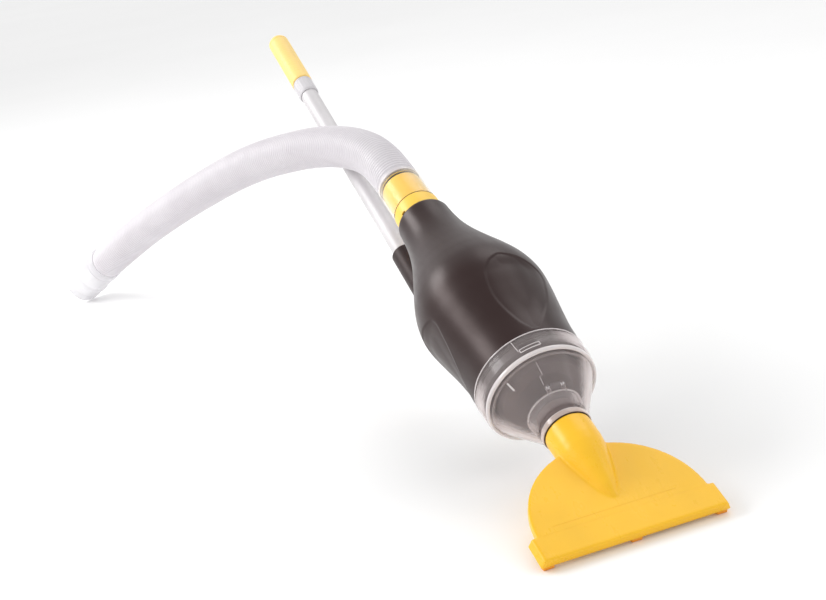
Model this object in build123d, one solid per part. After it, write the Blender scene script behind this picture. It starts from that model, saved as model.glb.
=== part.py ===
"""Hand-held cordless pool cleaner: nozzle, clear debris chamber, pump housing, telescopic pole and hose.

Everything is modelled about the tool axis, which runs from the nozzle lip (station 0) to the hose.
In that tool frame X is across, Y points to the pole side and Z is the station along the axis.
One placement then tilts the whole tool as it is held in use, with the row's origin inside the grip.
"""
from build123d import *
import math
import os

os.makedirs("parts", exist_ok=True)

# ---------------------------------------------------------------- driving dimensions (mm, degrees)
TILT = 24.0                 # tool axis above the floor
CLEAR = 0.05                # radial running clearance of turned fits
GAP = 0.35                  # open gap between pieces of different bodies

LIP_HALF = 88.5             # nozzle lip, half width on top
LIP_FLARE = 3.5             # extra half width at the sole
LIP_START = -1.5            # lip's front edge
LIP_DEPTH = 27.0
FAN_R = 83.0                # half-disc fan
TOP_Y = -4.0                # fan's top skin
SOLE_Y = 5.0                # fan's sole
SKIN = 2.2                  # fan wall
FOOT_X = 84.0
FOOT_WIDE = 10.0
FOOT_DROP = 3.6             # foot below the sole at its front

TUBE_R = 23.5               # nozzle tube
TUBE_START = 106.0
TUBE_END = 133.0
SPIGOT_R = 20.8             # plugs into the chamber neck
SPIGOT_BORE = 18.3
SPIGOT_END = 158.0

NECK_START = 138.0          # clear chamber
NECK_R = 24.5
NECK_INNER = 146.0
CONE_FRONT_R = 25.6
CONE_END = 187.0
CONE_END_R = 53.6
CONE_WALL = 3.03
BAND_R = 58.5
BAND_BORE = 56.1
BAND_END = 212.6

INTAKE_END = 161.0          # intake tube inside the chamber
INTAKE_R = 25.6
INTAKE_TOP_R = 28.4
INTAKE_WALL = 2.8
FLAP_R = 26.9
FLAP_THICK = 1.6
FLAP_PIN = (-30.2, 164.6)   # Y, station
FLAP_PIN_R = 1.5

SKIRT_R = 55.7              # housing skirt inside the band
SKIRT_BORE = 52.6
SKIRT_START = 188.5
SKIRT_FRONT_R = 50.0
LUG_R = 57.2
LUG_STATIONS = (199.5, 203.0)
LUG_ANGLES = (-102.0, 18.0, 138.0)
LUG_HALF = 9.0              # half angle
TWIST = 20.0                # bayonet travel
LEDGE_R = 46.6              # inner ledge that carries the pump cover
LEDGE = (204.0, 209.0)

# bottle-shaped housing: station and outer radius
BULB = (
    (213.0, 58.2), (240.0, 59.8), (260.0, 62.3), (280.0, 65.2), (300.0, 68.0),
    (320.0, 69.4), (340.0, 66.6), (360.0, 60.4), (380.0, 52.9), (400.0, 45.5),
    (420.0, 39.0), (440.0, 34.2), (460.0, 31.4), (477.0, 30.2),
)
BULB_WALL = 3.2
NECK_TOP = 480.0
OUTLET_BORE = 18.5
STUB_R = 22.3
STUB_END = 494.0
RECESS_ANGLES = (-72.0, 48.0, 168.0)
RECESS_STATIONS = (218.0, 323.0)
RECESS_HALF = 32.0          # half width of a leaf, in degrees
RECESS_DEEP = 1.2

LOCK_R = 26.3               # outlet lock ring
LOCK_START = 480.4
LOCK_END = 501.0
HOSE_SPIGOT_R = 22.4
HOSE_SPIGOT_END = 549.0
INLET_CUFF_R = 25.6
INLET_CUFF_START = 502.0
HOSE_START = 553.0
HOSE_R = 25.0
HOSE_BORE = 21.0
END_CUFF_R = 28.0
END_CUFF_BORE = 23.0
END_CUFF_LONG = 80.0

CAPSULE_R = 44.0            # dry capsule with motor and cells
CAPSULE_BORE = 41.2
CAPSULE_FRONT = 244.0
CAPSULE_END = 398.0
LID_FRONT = 236.0
CELL_R = 16.6
CELL_LONG = 60.5
CELL_START = 318.0
CELL_PITCH = 17.0           # cell axis from both centre planes
MOTOR_R = 19.0
MOTOR = (246.0, 306.0)
SHAFT_R = 2.5
IMPELLER_R = 30.0
IMPELLER = (209.0, 221.0)
EYE_R = 15.0
COVER = (200.0, 204.0)
STRAINER_R = 45.5
SCREW_CIRCLE = 49.4

POLE_R = 11.0               # outer pole tube
POLE_WALL = 1.2
POLE_SLOPE = 3.75           # pole against the tool axis
POLE_TOP = (87.3, 541.0)    # Y, station of the pole axis at the socket's mouth
SOCKET_R = 14.5
SOCKET_LONG = 150.0
POLE_IN = 138.0             # pole inside the socket
POLE_OUT = 354.0            # pole beyond the socket's mouth
INNER_R = 9.2
INNER_WALL = 1.2
INNER_LONG = 440.0
COLLAR_R = 12.9
COLLAR_LONG = 28.0
GRIP_R = 13.5
GRIP_LONG = 96.0
BUTTON_R = 3.4
BUTTON_AT = -112.0
FOOT_THICK = 6.0            # bracket foot on the housing
SOCKET_SCREWS = ((-13, 402), (13, 402), (-13, 446), (13, 446))

SWITCH_AT = 262.0           # slide switch on the housing's pole side

# ---------------------------------------------------------------- frames
POLE_GRIP_AT = POLE_OUT + 3.0 + GRIP_LONG / 2
slope = math.radians(POLE_SLOPE)
pole_frame = Plane(
    origin=(0, POLE_TOP[0], POLE_TOP[1]),
    x_dir=(1, 0, 0),
    z_dir=(0, -math.sin(slope), math.cos(slope)),
)
grip_point = pole_frame.from_local_coords(Vector(0, 0, POLE_GRIP_AT))
tilt = math.radians(TILT)
along = Vector(0, math.cos(tilt), math.sin(tilt))
to_pole = Vector(0, math.sin(tilt), -math.cos(tilt))
tool_frame = Plane(
    origin=-(to_pole * grip_point.Y + along * grip_point.Z),
    x_dir=(1, 0, 0),
    z_dir=along,
)
# station and Y where the feet stand on the floor
foot_front = (SOLE_Y + FOOT_DROP, LIP_START + 0.5)
floor_point = tool_frame.from_local_coords(Vector(0, foot_front[0], foot_front[1]))
FLOOR_Z = floor_point.Z
LIP_Y = tool_frame.from_local_coords(Vector(0, 0, 0)).Y


# ---------------------------------------------------------------- small helpers
def turned(*points):
    """Solid of revolution about the tool axis from (radius, station) corners."""
    outline = Polyline(*[(r, 0, z) for r, z in points], close=True)
    return revolve(make_face(outline), Axis.Z)


def rod(radius, start, end, x=0.0, y=0.0):
    """Round bar along the tool axis."""
    bar = Cylinder(radius, end - start, align=(Align.CENTER, Align.CENTER, Align.MIN))
    return Pos(x, y, start) * bar


def pipe(outer, inner, start, end, x=0.0, y=0.0):
    """Round tube along the tool axis."""
    return rod(outer, start, end, x, y) - rod(inner, start - 1, end + 1, x, y)


def cross_rod(radius, x0, x1, y, z):
    """Round bar across the tool, along X."""
    bar = Cylinder(radius, x1 - x0, rotation=(0, 90, 0))
    return Pos((x0 + x1) / 2, y, z) * bar


def block(x0, x1, y0, y1, z0, z1):
    """Rectangular block between six planes."""
    size = Box(x1 - x0, y1 - y0, z1 - z0)
    return Pos((x0 + x1) / 2, (y0 + y1) / 2, (z0 + z1) / 2) * size


def sector(inner, outer, start, end, angle, half):
    """Part of a ring, centred on an angle about the tool axis."""
    corners = [(inner, start), (outer, start), (outer, end), (inner, end)]
    outline = Polyline(*[(r, 0, z) for r, z in corners], close=True)
    piece = revolve(make_face(outline), Axis.Z, 2 * half)
    return Rot(0, 0, angle - half) * piece


def torus(major, minor, station):
    """O-ring about the tool axis."""
    return Pos(0, 0, station) * Torus(major, minor)


def profile(points, offset):
    """Solid of revolution under a smooth curve, moved in by an offset."""
    curve = Spline(*[(r - offset, 0, z) for z, r in points])
    z0, r0 = points[0]
    z1, r1 = points[-1]
    sides = Polyline((r1 - offset, 0, z1), (0, 0, z1), (0, 0, z0), (r0 - offset, 0, z0))
    return revolve(make_face([curve, sides]), Axis.Z)


def turned_copies(piece, count, offset=0.0):
    """Copies of a piece spaced evenly about the tool axis."""
    return [Rot(0, 0, offset + 360.0 * i / count) * piece for i in range(count)]


# ---------------------------------------------------------------- nozzle
def half_disc(radius, y0, y1):
    """Half disc whose straight side is at the back of the lip."""
    edge = LIP_START + LIP_DEPTH
    disc = Cylinder(radius, y1 - y0, rotation=(90, 0, 0))
    disc = Pos(0, (y0 + y1) / 2, edge) * disc
    return disc & block(-radius - 1, radius + 1, y0 - 1, y1 + 1, edge, edge + radius + 1)


def nozzle_head():
    edge = LIP_START + LIP_DEPTH
    lip_outline = Polyline(
        (-LIP_HALF, TOP_Y, LIP_START),
        (LIP_HALF, TOP_Y, LIP_START),
        (LIP_HALF + LIP_FLARE, SOLE_Y, LIP_START),
        (-LIP_HALF - LIP_FLARE, SOLE_Y, LIP_START),
        close=True,
    )
    lip = extrude(make_face(lip_outline), LIP_DEPTH, dir=(0, 0, 1))
    fan = half_disc(FAN_R, TOP_Y, SOLE_Y)
    hood = Pos(0, 0, 43) * Cone(3, TUBE_R, TUBE_START - 43, align=(Align.CENTER, Align.CENTER, Align.MIN))
    head = lip + fan + hood + rod(TUBE_R, TUBE_START, TUBE_END) + rod(SPIGOT_R, TUBE_END, SPIGOT_END)
    # flat cavity in the fan, round duct in the hood and tube
    inner_top = TOP_Y + 2.0
    inner_sole = SOLE_Y - 2.0
    head -= block(-84, 84, inner_top, inner_sole, 4.0, edge)
    head -= half_disc(FAN_R - SKIN, inner_top, inner_sole)
    duct_start = TUBE_START - 48
    duct = Cone(1.0, SPIGOT_BORE, 48, align=(Align.CENTER, Align.CENTER, Align.MIN))
    head -= Pos(0, 0, duct_start) * duct
    head -= rod(SPIGOT_BORE, TUBE_START, SPIGOT_END + 1)
    # suction slot through the sole
    head -= block(-80, 80, inner_sole - 1, SOLE_Y + 1, 6.0, 20.0)
    # ribs that hold the two skins apart behind the slot
    for x in (-56, -28, 28, 56):
        head += block(x - 1, x + 1, inner_top - 0.5, inner_sole + 0.5, 24.0, 44.0)
    # shallow step line between lip and fan
    head -= block(-72, 72, TOP_Y - 1, TOP_Y + 0.5, 30.0, 31.2)
    return head


def nozzle_feet():
    slope_down = math.tan(math.radians(TILT))
    back = LIP_START + 7.0
    deep = foot_front[0] + (back - foot_front[1]) * slope_down
    outline = Polyline(
        (0, SOLE_Y, foot_front[1]), (0, foot_front[0], foot_front[1]), (0, deep, back), (0, SOLE_Y, back), close=True
    )
    foot = extrude(make_face(outline), FOOT_WIDE, dir=(1, 0, 0))
    return Compound([Pos(x - FOOT_WIDE / 2, 0, 0) * foot for x in (-FOOT_X, 0, FOOT_X)])


def nozzle_o_ring():
    return torus(SPIGOT_R + 1.6, 1.6, TUBE_END + 1.6)


# ---------------------------------------------------------------- debris chamber
def debris_chamber():
    shell = turned(
        (SPIGOT_R + CLEAR, NECK_START),
        (NECK_R, NECK_START),
        (CONE_FRONT_R, NECK_START + 2.5),
        (CONE_END_R, CONE_END),
        (BAND_R - 0.9, CONE_END + 5.5),
        (BAND_R, CONE_END + 10),
        (BAND_R, BAND_END),
        (BAND_BORE, BAND_END),
        (BAND_BORE, CONE_END + 8.0),
        (CONE_END_R - CONE_WALL, CONE_END),
        (CONE_FRONT_R + 3.3 - CONE_WALL, NECK_INNER),
        (SPIGOT_R + CLEAR, NECK_INNER),
    )
    low = LUG_STATIONS[0] - 0.6
    high = LUG_STATIONS[1] + 0.6
    deep = LUG_R + 0.35
    for angle in LUG_ANGLES:
        track = sector(BAND_BORE - 1, deep, low, high, angle - TWIST / 2, LUG_HALF + TWIST / 2 + 1.5)
        entry = sector(BAND_BORE - 1, deep, high - 1, BAND_END + 1, angle - TWIST, LUG_HALF + 1.5)
        shell = shell - track - entry
    # index rib on the cone
    rib = block(CONE_END_R - 12.5, CONE_END_R - 1.4, -1.0, 1.0, 172.0, 186.5)
    shell += (Rot(0, 0, -141) * rib) - profile_cone()
    return shell


def profile_cone():
    """Inside of the cone, used to trim what stands on it."""
    return turned(
        (0, NECK_START),
        (CONE_FRONT_R - CONE_WALL + 1.8, NECK_START + 5.0),
        (CONE_END_R - CONE_WALL + 1.0, CONE_END),
        (0, CONE_END),
    )


def intake_tube():
    wall = turned(
        (INTAKE_R - INTAKE_WALL, NECK_INNER),
        (INTAKE_R, NECK_INNER),
        (INTAKE_TOP_R, INTAKE_END),
        (INTAKE_TOP_R - INTAKE_WALL, INTAKE_END),
    )
    y, z = FLAP_PIN
    outline = Polyline(
        (0, -27.2, 155.0),
        (0, -27.9, 155.0),
        (0, y - 2.4, 160.5),
        (0, y - 2.4, z + 2.4),
        (0, y + 2.4, z + 2.4),
        (0, -27.2, INTAKE_END),
        close=True,
    )
    ear = extrude(make_face(outline), 2.8, dir=(1, 0, 0))
    for x in (-8.8, 6.0):
        wall += (Pos(x, 0, 0) * ear) - cross_rod(FLAP_PIN_R, x - 1, x + 4, y, z)
    return wall


def flap_pin():
    y, z = FLAP_PIN
    return cross_rod(FLAP_PIN_R, -9.5, 9.5, y, z)


def flap_valve():
    y, z = FLAP_PIN
    seat = INTAKE_END + 0.3
    disc = rod(FLAP_R, seat, seat + FLAP_THICK)
    knuckle = cross_rod(3.0, -5.0, 5.0, y, z)
    arm = block(-5.0, 5.0, y, -FLAP_R + 5.0, seat + 0.6, seat + 3.2)
    return disc + knuckle + arm - cross_rod(FLAP_PIN_R + CLEAR, -6, 6, y, z)


# ---------------------------------------------------------------- housing
def leaf_prism(angle):
    """Leaf-shaped block that reaches in through one side of the housing."""
    z0, z1 = RECESS_STATIONS
    half = 66.0 * math.sin(math.radians(RECESS_HALF))
    middle = (z0 + z1) / 2
    edge_a = ThreePointArc((0, 0, z0), (0, half, middle), (0, 0, z1))
    edge_b = ThreePointArc((0, 0, z1), (0, -half, middle), (0, 0, z0))
    leaf = extrude(make_face([edge_a, edge_b]), 90, dir=(1, 0, 0))
    return Rot(0, 0, angle) * leaf


def bulb_housing():
    outer = profile(BULB, 0) + rod(BULB[-1][1] - 1.2, BULB[-1][0], NECK_TOP)
    recess_floor = profile(BULB, RECESS_DEEP)
    for angle in RECESS_ANGLES:
        outer -= leaf_prism(angle) - recess_floor
    outer += rod(SKIRT_R, SKIRT_START + 9, BULB[0][0])
    outer += turned(
        (0, SKIRT_START),
        (SKIRT_FRONT_R, SKIRT_START),
        (SKIRT_R, SKIRT_START + 9),
        (0, SKIRT_START + 9),
    )
    for angle in LUG_ANGLES:
        outer += sector(SKIRT_R - 1, LUG_R, LUG_STATIONS[0], LUG_STATIONS[1], angle, LUG_HALF)
    cavity = profile(BULB, BULB_WALL + RECESS_DEEP / 2)
    cavity -= rod(70, 474, 490)
    cavity += rod(SKIRT_BORE, SKIRT_START + 8, BULB[0][0] + 4)
    cavity += turned(
        (0, SKIRT_START - 1),
        (SKIRT_FRONT_R - 2.6, SKIRT_START - 1),
        (SKIRT_FRONT_R - 2.6, SKIRT_START),
        (SKIRT_BORE, SKIRT_START + 8),
        (0, SKIRT_START + 8),
    )
    housing = outer - cavity
    housing += pipe(SKIRT_BORE + 0.5, LEDGE_R, *LEDGE)
    housing += pipe(STUB_R, OUTLET_BORE, NECK_TOP - 6, STUB_END)
    housing -= rod(OUTLET_BORE, 460, STUB_END + 1)
    housing -= torus(SKIRT_R - 0.65, 1.05, 207.5)
    for hole in turned_copies(rod(1.5, LEDGE[0] - 1, LEDGE[1] + 1, SCREW_CIRCLE), 4, 45):
        housing -= hole
    for x, z in SOCKET_SCREWS:
        housing -= Pos(x, skin_depth(x, z), z) * Cylinder(1.5, 8.0, rotation=(90, 0, 0))
    return housing


def chamber_seal():
    return torus(SKIRT_R - 0.65, 1.0, 207.5)


def pump_cover():
    plate = rod(SKIRT_BORE - 0.1, *COVER) - rod(EYE_R, COVER[0] - 1, COVER[1] + 1)
    vane = block(33.0, 45.0, -1.0, 1.0, COVER[1] - 0.5, 224.0)
    for piece in turned_copies(vane, 8, 22.5):
        plate += piece
    for post in turned_copies(rod(3.2, COVER[1] - 0.5, LID_FRONT, 40.0), 4, 0):
        plate += post
    for hole in turned_copies(rod(1.7, COVER[0] - 1, COVER[1] + 1, SCREW_CIRCLE), 4, 45):
        plate -= hole
    return plate


def cover_screws():
    head = rod(2.6, COVER[0] - 1.8, COVER[0], SCREW_CIRCLE)
    shank = rod(1.5, COVER[0], LEDGE[1] - 0.5, SCREW_CIRCLE)
    return Compound(turned_copies(head + shank, 4, 45))


def strainer_cone():
    shell = turned(
        (STRAINER_R, COVER[0]),
        (STRAINER_R, 192.0),
        (41.0, 184.5),
        (30.0, 181.5),
        (0.0, 181.5),
        (0.0, 183.5),
        (29.5, 183.5),
        (39.8, 186.2),
        (43.5, 192.8),
        (43.5, COVER[0]),
    )
    for slot in turned_copies(block(9.0, 37.0, -1.0, 1.0, 180.0, 188.0), 16):
        shell -= slot
    return shell


# ---------------------------------------------------------------- pump and dry capsule
def motor_shaft():
    return rod(SHAFT_R, IMPELLER[0] - 3, MOTOR[0] + 8)


def impeller():
    disc = rod(IMPELLER_R, IMPELLER[1] - 2.2, IMPELLER[1])
    hub = rod(6.5, IMPELLER[0], IMPELLER[1])
    wheel = disc + hub
    for blade in turned_copies(Pos(0, 4, 0) * block(5.0, 28.5, -0.9, 0.9, IMPELLER[0], IMPELLER[1] - 1), 6):
        wheel += blade
    return wheel - rod(SHAFT_R, IMPELLER[0] - 1, IMPELLER[1] + 1)


def capsule_lid():
    lid = rod(CAPSULE_R, LID_FRONT, CAPSULE_FRONT)
    lid += pipe(CAPSULE_BORE - 0.1, CAPSULE_BORE - 3, CAPSULE_FRONT - 0.5, CAPSULE_FRONT + 5)
    lid -= rod(8.0, LID_FRONT - 1, LID_FRONT + 6)
    lid -= rod(SHAFT_R + 0.6, LID_FRONT, CAPSULE_FRONT + 1)
    lid -= torus(CAPSULE_BORE - 1.0, 1.05, CAPSULE_FRONT + 2.5)
    for hole in turned_copies(rod(1.7, LID_FRONT - 1, CAPSULE_FRONT + 6, 34.0), 4, 45):
        lid -= hole
    return lid


def shaft_seal():
    return pipe(8.0, SHAFT_R + CLEAR, LID_FRONT + 0.3, LID_FRONT + 6)


def lid_seal():
    return torus(CAPSULE_BORE - 1.0, 1.0, CAPSULE_FRONT + 2.5)


def capsule_body():
    outer = turned(
        (0, CAPSULE_FRONT),
        (CAPSULE_R, CAPSULE_FRONT),
        (CAPSULE_R, CAPSULE_END - 15),
        (35.0, CAPSULE_END - 4),
        (26.0, CAPSULE_END),
        (0, CAPSULE_END),
    )
    cup = outer - rod(CAPSULE_BORE, CAPSULE_FRONT - 1, CAPSULE_END - 17)
    for boss in turned_copies(rod(4.5, CAPSULE_FRONT + 5.2, CAPSULE_FRONT + 22, 34.0), 4, 45):
        cup += boss
    for web in turned_copies(block(36.0, CAPSULE_BORE + 1, -1.5, 1.5, CAPSULE_FRONT + 5.2, 266.0), 4, 45):
        cup += web
    for hole in turned_copies(rod(1.5, CAPSULE_FRONT, CAPSULE_FRONT + 18, 34.0), 4, 45):
        cup -= hole
    return cup


def lid_screws():
    head = rod(2.8, LID_FRONT - 2, LID_FRONT, 34.0)
    shank = rod(1.5, LID_FRONT, CAPSULE_FRONT + 16, 34.0)
    return Compound(turned_copies(head + shank, 4, 45))


def motor_can():
    can = rod(MOTOR_R, *MOTOR) + rod(6.0, MOTOR[1], MOTOR[1] + 2.5)
    can += rod(10.0, CAPSULE_FRONT, MOTOR[0])
    can -= rod(SHAFT_R + CLEAR, MOTOR[0] - 3, MOTOR[0] + 12)
    return can


def motor_clamp():
    """Plate with a sleeve that holds the motor in the capsule."""
    plate = rod(CAPSULE_BORE - 0.05, MOTOR[1] - 12, MOTOR[1] - 9) - rod(MOTOR_R, 290, 300)
    sleeve = pipe(MOTOR_R + 2, MOTOR_R, MOTOR[1] - 12, MOTOR[1] - 1)
    holes = turned_copies(rod(6.0, 290, 300, 31.0), 4, 0)
    plate = plate + sleeve
    for hole in holes:
        plate -= hole
    return plate


def cell_centres():
    return [(x, y) for x in (-CELL_PITCH, CELL_PITCH) for y in (-CELL_PITCH, CELL_PITCH)]


def battery_cells():
    cells = []
    for x, y in cell_centres():
        can = rod(CELL_R, CELL_START, CELL_START + CELL_LONG - 1.5, x, y)
        cells.append(can + rod(4.5, CELL_START + CELL_LONG - 1.5, CELL_START + CELL_LONG, x, y))
    return Compound(cells)


def cell_holder():
    plate = rod(CAPSULE_BORE - 0.05, 310.0, 313.0)
    plate -= block(-3, 3, -3, 3, 309, 314)
    spine = rod(6.0, 313.0, CELL_START + CELL_LONG)
    for x, y in cell_centres():
        spine -= rod(CELL_R + 0.05, CELL_START - 8, CELL_START + CELL_LONG + 2, x, y)
    ring = pipe(CAPSULE_BORE - 0.05, CAPSULE_BORE - 1.2, 313.0, 335.0)
    for x, y in cell_centres():
        ring -= rod(CELL_R + 0.05, 312.9, 336, x, y)
    return plate + spine + ring


def contact_springs():
    springs = []
    for x, y in cell_centres():
        coil = Helix(pitch=1.4, height=4.0, radius=4.0)
        wire = sweep(Plane(coil @ 0, z_dir=coil % 0) * Circle(0.45), path=coil, is_frenet=True)
        springs.append(Pos(x, y, 313.5) * wire)
    return Compound(springs)


def contact_plates():
    plates = []
    for x in (-CELL_PITCH, CELL_PITCH):
        plates.append(block(x - 8, x + 8, -25, 25, CELL_START + CELL_LONG, CELL_START + CELL_LONG + 0.6))
    return Compound(plates)


def reed_switch():
    tube = rod(2.2, 256.0, 274.0, 0, 37.0)
    return tube + rod(0.6, 252.0, 278.0, 0, 37.0)


# ---------------------------------------------------------------- slide switch on the housing
def switch_base():
    pad = block(-11, 11, 52, 70, SWITCH_AT - 22, SWITCH_AT + 24)
    pad -= profile(BULB, 0)
    pad -= block(-7, 7, 66, 75, SWITCH_AT - 16, SWITCH_AT + 18)
    return pad


def switch_slider():
    thumb = block(-6.6, 6.6, 66.4, 70.6, SWITCH_AT - 12, SWITCH_AT + 6)
    for i in range(4):
        z = SWITCH_AT - 8 + 4 * i
        thumb += block(-6.6, 6.6, 70.4, 71.6, z, z + 1.6)
    thumb -= rod(3.0, SWITCH_AT - 8, SWITCH_AT + 2, 0, 68.5) & block(-3, 3, 66.0, 69.5, 200, 300)
    return thumb


def slider_magnet():
    bar = rod(3.0, SWITCH_AT - 8, SWITCH_AT + 2, 0, 68.5)
    return bar & block(-3, 3, 66.45, 69.5, 200, 300)


# ---------------------------------------------------------------- outlet and hose
def outlet_lock_ring():
    bore = STUB_R + CLEAR
    ring = turned(
        (bore, LOCK_START),
        (LOCK_R, LOCK_START),
        (LOCK_R, LOCK_END - 1),
        (LOCK_R - 1, LOCK_END),
        (HOSE_SPIGOT_R + GAP, LOCK_END),
        (HOSE_SPIGOT_R + GAP, LOCK_END - 2.6),
        (24.6, LOCK_END - 2.6),
        (24.6, STUB_END - 0.5),
        (bore, STUB_END - 0.5),
    )
    notch = block(20, 30, -2.6, 2.6, LOCK_START - 1, LOCK_START + 5.5)
    ring -= Rot(0, 0, -147) * notch
    for rib in turned_copies(block(LOCK_R - 0.5, LOCK_R + 0.5, -0.8, 0.8, 489.0, 499.0), 3, 60):
        ring += rib
    return ring


def outlet_spigot():
    wall = pipe(HOSE_SPIGOT_R, OUTLET_BORE, STUB_END, HOSE_SPIGOT_END)
    flange = pipe(24.2, OUTLET_BORE, STUB_END, STUB_END + 4.0)
    wall = wall + flange - torus(HOSE_SPIGOT_R + 0.15, 1.05, HOSE_SPIGOT_END - 3.5)
    for station in (512.0, 522.0, 532.0):
        wall += turned((HOSE_SPIGOT_R - 0.5, station - 3), (HOSE_SPIGOT_R + 0.7, station), (HOSE_SPIGOT_R - 0.5, station))
    return wall


def spigot_o_ring():
    return torus(HOSE_SPIGOT_R + 0.15, 1.0, HOSE_SPIGOT_END - 3.5)


def hose_inlet_cuff():
    cuff = pipe(INLET_CUFF_R, HOSE_SPIGOT_R + 1.2, INLET_CUFF_START, HOSE_SPIGOT_END + 0.5)
    cuff += pipe(INLET_CUFF_R, HOSE_BORE, HOSE_SPIGOT_END + 0.5, HOSE_START)
    return cuff


# points of the hose's centre line: across, along the floor from the lip, height above the floor
HOSE_ROUTE = (
    (0.0, 543.0, 250.0),
    (-6.0, 592.0, 262.0),
    (-21.0, 660.0, 262.0),
    (-48.0, 733.0, 253.0),
    (-94.0, 842.0, 227.0),
    (-151.0, 969.0, 175.0),
    (-199.0, 1068.0, 128.0),
    (-236.0, 1128.0, 91.0),
    (-262.0, 1170.0, 63.5),
)


def hose_points():
    """Hose centre line in the row frame, from the inlet cuff's face."""
    start = tool_frame.from_local_coords(Vector(0, 0, HOSE_START))
    points = [start]
    for x, y, z in HOSE_ROUTE:
        points.append(Vector(x, LIP_Y + y, FLOOR_Z + z))
    # the first run leaves along the tool axis
    points[1] = start + along * 42.0
    return points


def hose_path():
    points = hose_points()
    runs = [(b - a).length for a, b in zip(points, points[1:])]
    radii = []
    for i in range(1, len(points) - 1):
        turn = math.radians((points[i] - points[i - 1]).get_angle(points[i + 1] - points[i]))
        radii.append(0.45 * min(runs[i - 1], runs[i]) / math.tan(turn / 2))
    print("hose runs", [round(r) for r in runs])
    print("hose radii", [round(r) for r in radii])
    return FilletPolyline(*points, radius=radii)


def discharge_hose(path):
    start = Plane(origin=path @ 0, z_dir=path % 0)
    outer = sweep(start * Circle(HOSE_R), path=path)
    inner = sweep(start * Circle(HOSE_BORE), path=path)
    hose = outer - inner
    section = math.pi * (HOSE_R**2 - HOSE_BORE**2)
    print("hose length", round(path.length, 1), "volume ratio", round(hose.volume / (section * path.length), 4))
    return hose


def hose_end_cuff(path):
    frame = Plane(origin=path @ 1, z_dir=path % 1)
    long = END_CUFF_LONG
    cuff = turned(
        (HOSE_BORE, 0),
        (HOSE_R - 0.5, 0),
        (END_CUFF_R - 1.6, 3),
        (END_CUFF_R - 1.6, long - 38),
        (END_CUFF_R, long - 34),
        (END_CUFF_R, long - 1.5),
        (END_CUFF_R - 1.5, long),
        (END_CUFF_BORE, long),
        (END_CUFF_BORE, 12),
        (HOSE_BORE, 8),
    )
    return frame.location * cuff


# ---------------------------------------------------------------- pole
def on_pole(piece):
    return pole_frame.location * piece


def pole_socket():
    tube = on_pole(rod(SOCKET_R, -SOCKET_LONG, 0))
    round_off = on_pole(turned((SOCKET_R - 2, 1), (SOCKET_R + 1, 1), (SOCKET_R + 1, -3)))
    web = block(-5, 5, 20, 96, 396.0, 452.0)
    foot = block(-19, 19, 20, 60, 396.0, 452.0) & profile(BULB, -FOOT_THICK)
    bracket = (web + foot) - profile(BULB, 0)
    bracket = bracket & block(-30, 30, 28, 110, 380, 460)
    socket = tube - round_off + bracket
    socket -= on_pole(rod(POLE_R + CLEAR, -POLE_IN, 1))
    socket -= on_pole(Pos(0, SOCKET_R, BUTTON_AT) * Cylinder(BUTTON_R + 0.35, 16, rotation=(90, 0, 0)))
    for x, z in SOCKET_SCREWS:
        face = skin_depth(x, z) + FOOT_THICK - 1.5
        socket -= Pos(x, 60, z) * Cylinder(1.7, 80, rotation=(90, 0, 0))
        socket -= Pos(x, face + 15, z) * Cylinder(3.4, 30, rotation=(90, 0, 0))
    return socket


def socket_screws():
    """Four screws, each with its head on the bracket's foot."""
    screws = []
    for x, z in SOCKET_SCREWS:
        face = skin_depth(x, z) + FOOT_THICK - 1.5
        head = Pos(x, face + 1.2, z) * Cylinder(2.8, 2.4, rotation=(90, 0, 0))
        shank = Pos(x, face - 4.0, z) * Cylinder(1.5, 8.0, rotation=(90, 0, 0))
        screws.append(head + shank)
    return Compound(screws)


def skin_depth(x, station):
    """How far out the housing's skin lies at a place on its pole side."""
    for (z0, r0), (z1, r1) in zip(BULB, BULB[1:]):
        if z0 <= station <= z1:
            radius = r0 + (r1 - r0) * (station - z0) / (z1 - z0)
    return math.sqrt(radius**2 - x**2)


def pole_outer_tube():
    tube = pipe(POLE_R, POLE_R - POLE_WALL, -POLE_IN + 1, POLE_OUT)
    tube -= Pos(0, POLE_R, BUTTON_AT) * Cylinder(BUTTON_R + 0.35, 12, rotation=(90, 0, 0))
    return on_pole(tube)


def pole_button():
    stem = Pos(0, SOCKET_R - 2.3, BUTTON_AT) * Cylinder(BUTTON_R, 9.4, rotation=(90, 0, 0))
    foot = Pos(0, 6.6, BUTTON_AT) * Cylinder(BUTTON_R + 1.6, 1.8, rotation=(90, 0, 0))
    return on_pole(stem + foot)


def button_spring():
    """Bent leaf that pushes the button out."""
    outline = Polyline(
        (0, -9.2, BUTTON_AT + 14),
        (0, -9.2, BUTTON_AT - 20),
        (0, -8.4, BUTTON_AT - 21),
        (0, 5.7, BUTTON_AT - 3),
        (0, 5.7, BUTTON_AT + 3),
        (0, 5.1, BUTTON_AT + 3),
        (0, 5.1, BUTTON_AT - 2.7),
        (0, -8.3, BUTTON_AT - 19.8),
        (0, -8.6, BUTTON_AT - 19.5),
        (0, -8.6, BUTTON_AT + 14),
        close=True,
    )
    leaf = extrude(make_face(outline), 6.0, dir=(1, 0, 0))
    return on_pole(Pos(-3.0, 0, 0) * leaf)


def pole_inner_tube():
    start = POLE_GRIP_AT + GRIP_LONG / 2 - 6 - INNER_LONG
    return on_pole(pipe(INNER_R, INNER_R - INNER_WALL, start, start + INNER_LONG))


def pole_glide():
    """Plastic bush on the inner tube's end that runs in the outer tube."""
    start = POLE_GRIP_AT + GRIP_LONG / 2 - 6 - INNER_LONG
    bush = pipe(POLE_R - POLE_WALL - CLEAR, INNER_R, start, start + 16)
    bush += pipe(POLE_R - POLE_WALL - CLEAR, 4.0, start - 4, start)
    return on_pole(bush)


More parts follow.
